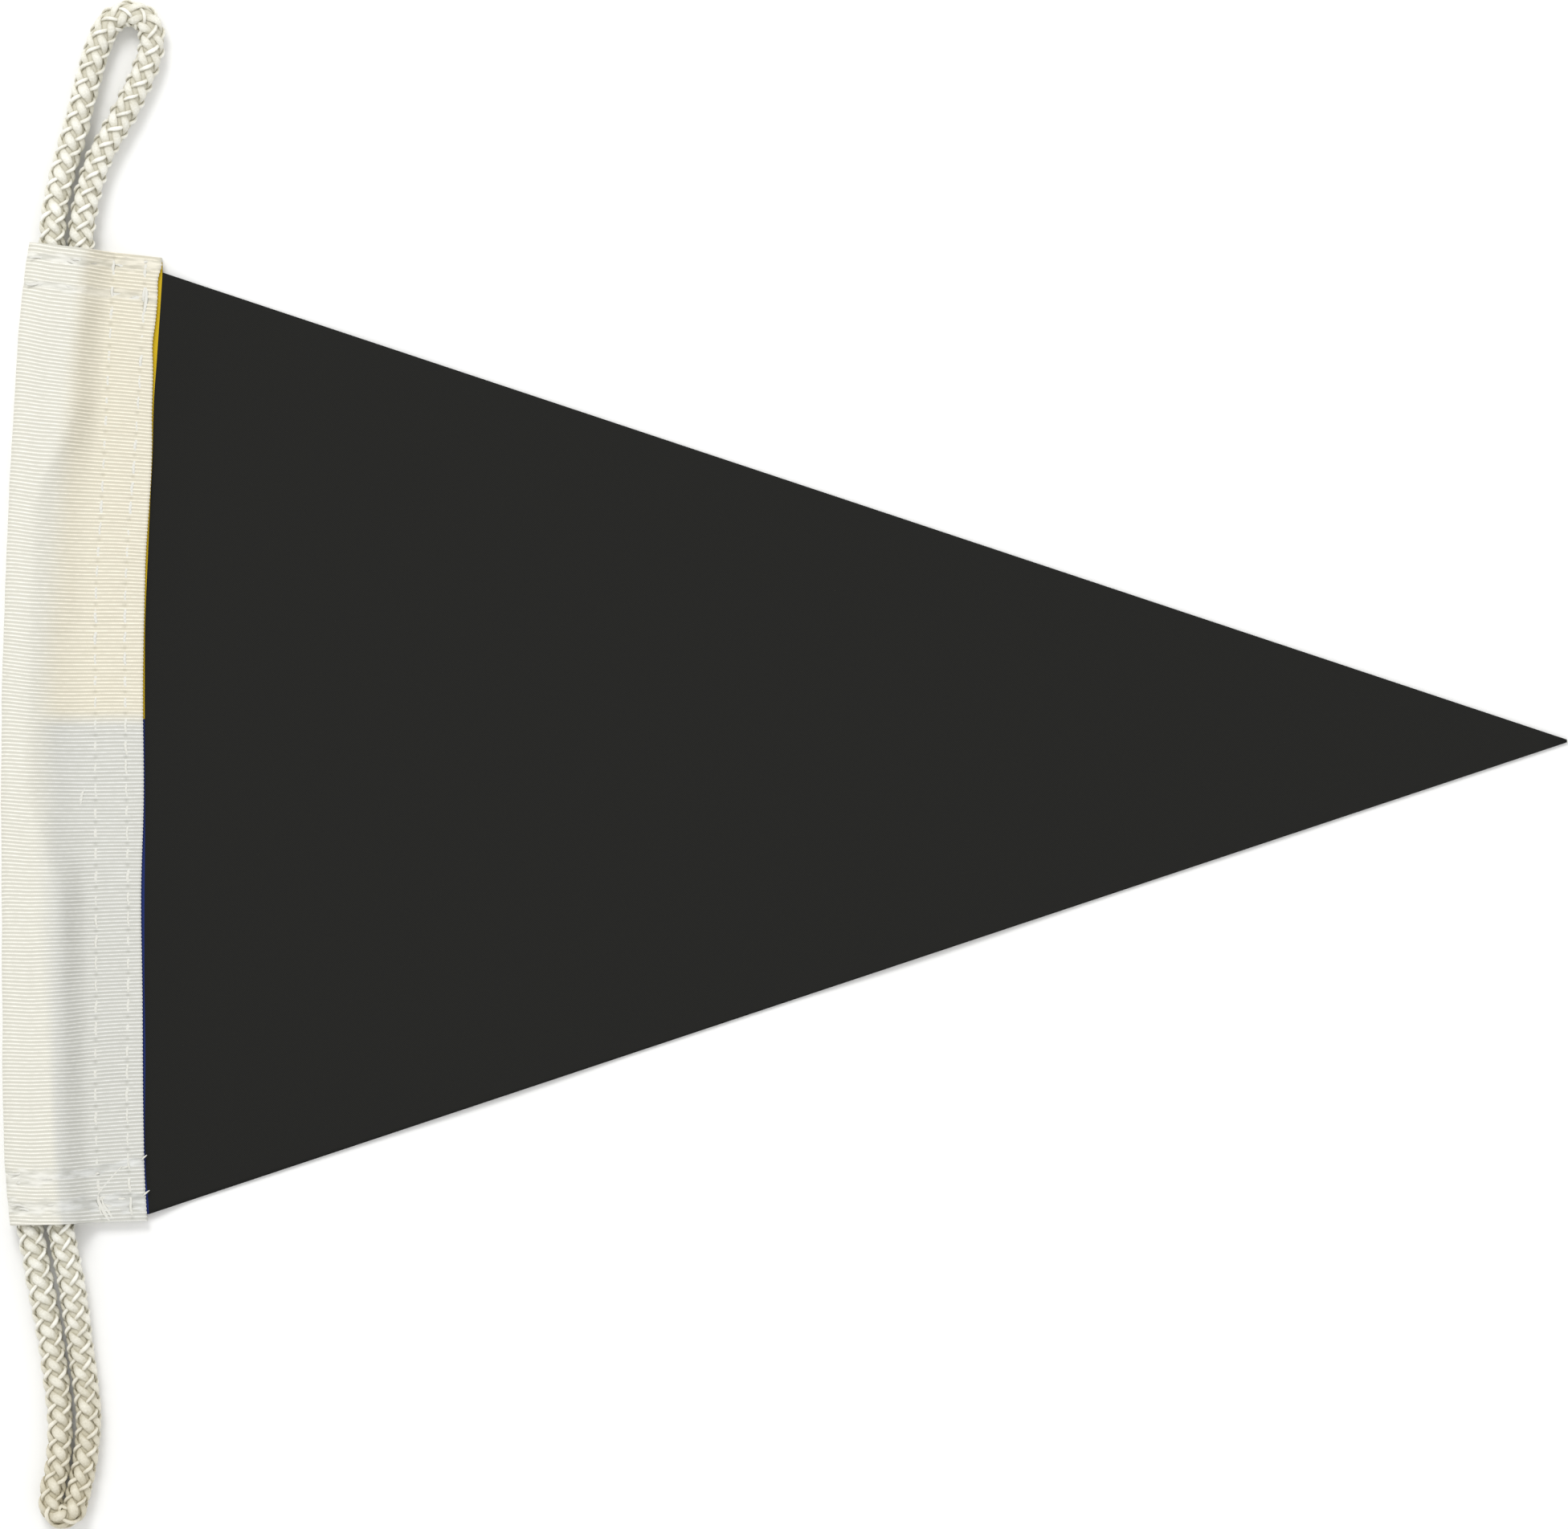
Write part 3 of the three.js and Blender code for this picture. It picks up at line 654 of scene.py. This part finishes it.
def looseEnds():
    parts = []
    for points, halfWidth in looseThreads:
        rows = np.array(points)
        at = np.linspace(0, len(rows) - 1, 4 * len(rows) + 1)
        table = np.column_stack([np.arange(len(rows)), rows])
        down, inset, lift = np.moveaxis(smoothTable(table, at), -1, 0)
        taper = 0.35 + 0.65 * np.sin(np.pi * at / at[-1])
        parts.append(threads(down[None], inset[None], lift[None], halfWidth * taper, 0.07 * taper))
    return parts


# Materials

def tapeMaterial():
    # Cotton grosgrain tape, woven and unbleached: narrow cream ribs across it, uneven in breadth, with
    # faint beads where warp threads bind them. It is dull, and the cloth beneath tints it.
    material, tree = newMaterial("grosgrain tape")
    uv = addNode(tree, "ShaderNodeUVMap", uv_map="cloth")
    u, v, _ = addNode(tree, "ShaderNodeSeparateXYZ", {0: uv}).outputs
    count = addNode(tree, "ShaderNodeMath", {0: v, 1: heading["ribs"]}, operation="MULTIPLY")
    turn = addNode(tree, "ShaderNodeMath", {0: count, 1: 2 * np.pi}, operation="MULTIPLY")
    wave = addNode(tree, "ShaderNodeMath", {0: turn}, operation="COSINE")
    half = addNode(tree, "ShaderNodeMath", {0: wave, 1: 0.5, 2: 0.5}, operation="MULTIPLY_ADD")
    crest = addNode(tree, "ShaderNodeMath", {0: half, 1: 2.6}, operation="POWER")
    # Warp threads 0.5 mm apart, shifted by half that from one rib to the next
    breadth, length = heading["weaveBreadth"], heading["length"]
    warp = 2 * np.pi * breadth / 0.5
    whole = addNode(tree, "ShaderNodeMath", {0: count}, operation="ROUND")
    shift = addNode(tree, "ShaderNodeMath", {0: whole, 1: np.pi}, operation="MULTIPLY")
    phase = addNode(tree, "ShaderNodeMath", {0: u, 1: warp, 2: shift}, operation="MULTIPLY_ADD")
    bead = addNode(tree, "ShaderNodeMath", {0: phase}, operation="SINE")
    # Slubs about 1.6 mm long and one rib, or 0.8 mm, wide
    slubPlace = addNode(tree, "ShaderNodeMapping", {"Vector": uv, "Scale": (breadth / 1.6, length / 0.8, 1)})
    slub = addNode(tree, "ShaderNodeTexNoise", {"Vector": slubPlace, "Scale": 1.0, "Detail": 3.0})
    bound = addNode(tree, "ShaderNodeMath", {0: bead, 1: 0.06, 2: slub}, operation="MULTIPLY_ADD")
    share = addNode(tree, "ShaderNodeMath", {0: bound, 1: 1.3, 2: 0.15}, operation="MULTIPLY_ADD")
    raised = addNode(tree, "ShaderNodeMath", {0: crest, 1: share}, operation="MULTIPLY", use_clamp=True)
    # Grooves darker than the crests: partly the warp's own colour, partly painted shade down in the grooves
    colour = addNode(tree, "ShaderNodeMix", {0: raised, 6: linear("#d0cec2"), 7: linear("#faf8ee")},
                     data_type="RGBA")
    # Back stitches leave smears about 5 mm long and 1.1 mm wide, mottled lighter and darker: partly the
    # pressed threads' own tone, partly painted shade in the dents
    smearPlace = addNode(tree, "ShaderNodeMapping", {"Vector": uv, "Scale": (breadth / 5, length / 1.1, 1)})
    smear = addNode(tree, "ShaderNodeTexNoise", {"Vector": smearPlace, "Scale": 1.0, "Detail": 3.0})
    streak = addNode(tree, "ShaderNodeMapRange", {0: smear, 1: 0.38, 2: 0.62})
    smearAndShade = addNode(tree, "ShaderNodeMix", {0: streak, 6: linear("#c9c8be"), 7: linear("#ecebe3")},
                   data_type="RGBA")
    pressed = addNode(tree, "ShaderNodeAttribute", attribute_name="pressed").outputs["Fac"]
    pressedShare = addNode(tree, "ShaderNodeMath", {0: pressed, 1: 0.8}, operation="MULTIPLY")
    colour = addNode(tree, "ShaderNodeMix", {0: pressedShare, 6: colour, 7: smearAndShade}, data_type="RGBA")
    # Needle holes darkened: painted shade down in the holes
    hole = addNode(tree, "ShaderNodeAttribute", attribute_name="hole").outputs["Fac"]
    holeShade = addNode(tree, "ShaderNodeMath", {0: hole, 1: 0.45}, operation="MULTIPLY")
    colour = addNode(tree, "ShaderNodeMix", {0: holeShade, 6: colour, 7: linear("#b4b2a5")}, data_type="RGBA")
    # The tint of the cloth beneath: warm over the yellow facing and cool over the navy, which begins at
    # 0.485 of the tape's length and blurs into the yellow over 3.5 mm
    navy = addNode(tree, "ShaderNodeMapRange", {0: v, 1: 0.476, 2: 0.493})
    through = addNode(tree, "ShaderNodeMix", {0: navy, 6: linear("#fffbf3"), 7: linear("#eff1f6")},
                      data_type="RGBA")
    tint = addNode(tree, "ShaderNodeAttribute", attribute_name="tint").outputs["Fac"]
    colour = addNode(tree, "ShaderNodeMix", {0: tint, 6: colour, 7: addNode(
        tree, "ShaderNodeMix", {0: 1.0, 6: colour, 7: through}, data_type="RGBA", blend_type="MULTIPLY")},
        data_type="RGBA")
    bump = addNode(tree, "ShaderNodeBump", {"Height": raised, "Strength": 0.35, "Distance": 0.00012})
    finishMaterial(tree, Base_Color=colour, Roughness=0.9, Specular_IOR_Level=0.25, Normal=bump)
    return material


def clothMaterial():
    # Warp-knitted polyester, dyed: matt, with fine even rows of loops. They are drawn 0.5 mm apart,
    # coarser than the real 0.2 mm, so that they show.
    material, tree = newMaterial("knitted polyester")
    place = addNode(tree, "ShaderNodeTexCoord").outputs["Object"]
    x, y, _ = addNode(tree, "ShaderNodeSeparateXYZ", {0: place}).outputs
    perMetre = 2 * np.pi / (cloth["loopSpacing"] * metres)
    turns = [addNode(tree, "ShaderNodeMath", {0: part, 1: perMetre}, operation="MULTIPLY") for part in (x, y)]
    waves = [addNode(tree, "ShaderNodeMath", {0: turn}, operation="SINE") for turn in turns]
    loops = addNode(tree, "ShaderNodeMath", {0: waves[0], 1: waves[1]}, operation="MULTIPLY")
    tone = addNode(tree, "ShaderNodeMath", {0: loops, 1: 0.5, 2: 0.5}, operation="MULTIPLY_ADD")
    black = addNode(tree, "ShaderNodeMix", {0: tone, 6: linear("#1b1b19"), 7: linear("#20201e")},
                    data_type="RGBA")
    change = cloth["colourChange"] * metres
    high = addNode(tree, "ShaderNodeMath", {0: y, 1: change}, operation="GREATER_THAN")
    dyed = addNode(tree, "ShaderNodeMix", {0: high, 6: linear("#22306b"), 7: linear("#c9aa20")},
                   data_type="RGBA")
    past = addNode(tree, "ShaderNodeAttribute", attribute_name="past").outputs["Fac"]
    facing = addNode(tree, "ShaderNodeMath", {0: past, 1: 0.0}, operation="LESS_THAN")
    colour = addNode(tree, "ShaderNodeMix", {0: facing, 6: black, 7: dyed}, data_type="RGBA")
    bump = addNode(tree, "ShaderNodeBump", {"Height": loops, "Strength": 0.3, "Distance": 0.00005})
    finishMaterial(tree, Base_Color=colour, Roughness=0.8, Specular_IOR_Level=0.15, Normal=bump)
    return material


def ropeMaterial():
    # Braided polyester cord: bundles of fine filaments with a soft sheen, with painted shade down between
    # strands and a painted highlight on their crowns
    material, tree = newMaterial("braided polyester cord")
    uv = addNode(tree, "ShaderNodeUVMap", uv_map="cloth")
    # Filaments lie along a strand. A broad one is 1.8 mm wide, and each is about 760 mm long.
    hair = addNode(tree, "ShaderNodeMapping", {"Vector": uv, "Scale": (*rope["filaments"], 1)})
    fibre = addNode(tree, "ShaderNodeTexNoise", {"Vector": hair, "Scale": 1.0, "Detail": 3.0})
    bright = addNode(tree, "ShaderNodeMix", {0: fibre, 6: linear("#f3f1e5"), 7: linear("#fffffa")},
                     data_type="RGBA")
    lift = addNode(tree, "ShaderNodeAttribute", attribute_name="lift").outputs["Fac"]
    # Fuzz about 0.4 mm across breaks up the painted light and shade on the strands by a fifth either way
    place = addNode(tree, "ShaderNodeTexCoord").outputs["Object"]
    fuzz = addNode(tree, "ShaderNodeTexNoise", {"Vector": place, "Scale": 2500.0, "Detail": 3.0})
    ragged = addNode(tree, "ShaderNodeMapRange", {0: fuzz, 1: 0.3, 2: 0.7, 3: -0.2, 4: 0.2})
    paintedLight = addNode(tree, "ShaderNodeMath", {0: lift, 1: ragged}, operation="ADD", use_clamp=True)
    # From painted shade, #cfcbb9, in the gaps and on the core up to a painted highlight on the strands'
    # crowns
    colour = addNode(tree, "ShaderNodeMix", {0: paintedLight, 6: linear("#cfcbb9"), 7: bright}, data_type="RGBA")
    # The lower loop is darker and warmer, more so towards its end
    y = addNode(tree, "ShaderNodeSeparateXYZ", {0: place}).outputs[1]
    low = addNode(tree, "ShaderNodeMapRange", {0: y, 1: -0.115, 2: -0.16})
    colour = addNode(tree, "ShaderNodeMix", {0: low, 6: colour, 7: addNode(
        tree, "ShaderNodeMix", {0: 1.0, 6: colour, 7: linear("#eee9de")}, data_type="RGBA",
        blend_type="MULTIPLY")}, data_type="RGBA")
    rough = addNode(tree, "ShaderNodeMath", {0: fibre, 1: fuzz}, operation="ADD")
    bump = addNode(tree, "ShaderNodeBump", {"Height": rough, "Strength": 0.7, "Distance": 0.00015})
    finishMaterial(tree, Base_Color=colour, Roughness=0.6, Specular_IOR_Level=0.35, Normal=bump)
    return material


def threadMaterial():
    # Spun polyester sewing thread: off white, faintly fuzzy, wound from fine plies
    material, tree = newMaterial("sewing thread")
    uv = addNode(tree, "ShaderNodeUVMap", uv_map="cloth")
    ply = addNode(tree, "ShaderNodeMapping", {"Vector": uv, "Scale": (4, 12, 1)})
    twist = addNode(tree, "ShaderNodeTexNoise", {"Vector": ply, "Scale": 1.0, "Detail": 1.0})
    colour = addNode(tree, "ShaderNodeMix", {0: twist, 6: linear("#d3d2ca"), 7: linear("#e4e3db")},
                     data_type="RGBA")
    bump = addNode(tree, "ShaderNodeBump", {"Height": twist, "Strength": 0.4, "Distance": 0.0001})
    finishMaterial(tree, Base_Color=colour, Roughness=0.7, Specular_IOR_Level=0.3, Normal=bump)
    return material


# Floor and light

studio = {"floorSize": 12.0, "floorHeight": -0.0001, "floor": "#f9f9f8", "sky": 0.88, "key": 20.0,
          "keyPlace": (-0.55, 1.4, 1.7), "keySize": 0.8}


def addStudio():
    material, tree = newMaterial("painted board")
    finishMaterial(tree, Base_Color=linear(studio["floor"]), Roughness=0.9, Specular_IOR_Level=0.1)
    half, height = studio["floorSize"] / 2, studio["floorHeight"]
    mesh = bpy.data.meshes.new("floor")
    mesh.from_pydata([(x * half, y * half, height) for x, y in ((-1, -1), (1, -1), (1, 1), (-1, 1))], [],
                     [(0, 1, 2, 3)])
    mesh.materials.append(material)
    floor = bpy.data.objects.new("floor", mesh)
    bpy.context.scene.collection.objects.link(floor)
    world = bpy.data.worlds.new("studio")
    world.use_nodes = True
    world.node_tree.nodes["Background"].inputs["Color"].default_value = (1, 1, 1, 1)
    world.node_tree.nodes["Background"].inputs["Strength"].default_value = studio["sky"]
    bpy.context.scene.world = world
    light = bpy.data.lights.new("key", "AREA")
    light.energy = studio["key"]
    light.size = studio["keySize"]
    key = bpy.data.objects.new("key", light)
    key.location = studio["keyPlace"]
    key.rotation_euler = (-key.location).to_track_quat("-Z", "Y").to_euler()
    bpy.context.scene.collection.objects.link(key)
    bpy.context.scene.view_settings.view_transform = "Standard"


# Assembly

(points, quads, ends, uvs), lift, centreLine, ropeLength = ropeParts()
# The rope's lift attribute carries its painted light and shade
ropePiece = makePiece("braided_rope", points, quads, ends, uvs, {"lift": lift}, ropeMaterial())
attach(ropePiece, "root")
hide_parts("rope")
print("rope", round(ropeLength, 1), "mm")

headingPiece = makePiece("folded_heading", *headingParts(), tapeMaterial())
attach(headingPiece, "root")
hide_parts("heading")

clothMesh = clothPiece(clothMaterial())
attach(clothMesh, "root")
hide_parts("flag_cloth")

points, quads, ends, uvs = joinParts(seamStitches() + bandStitches() + looseEnds())
stitching = makePiece("stitching", points, quads, ends, uvs, {}, threadMaterial())
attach(stitching, "root")

addStudio()
print("studio")
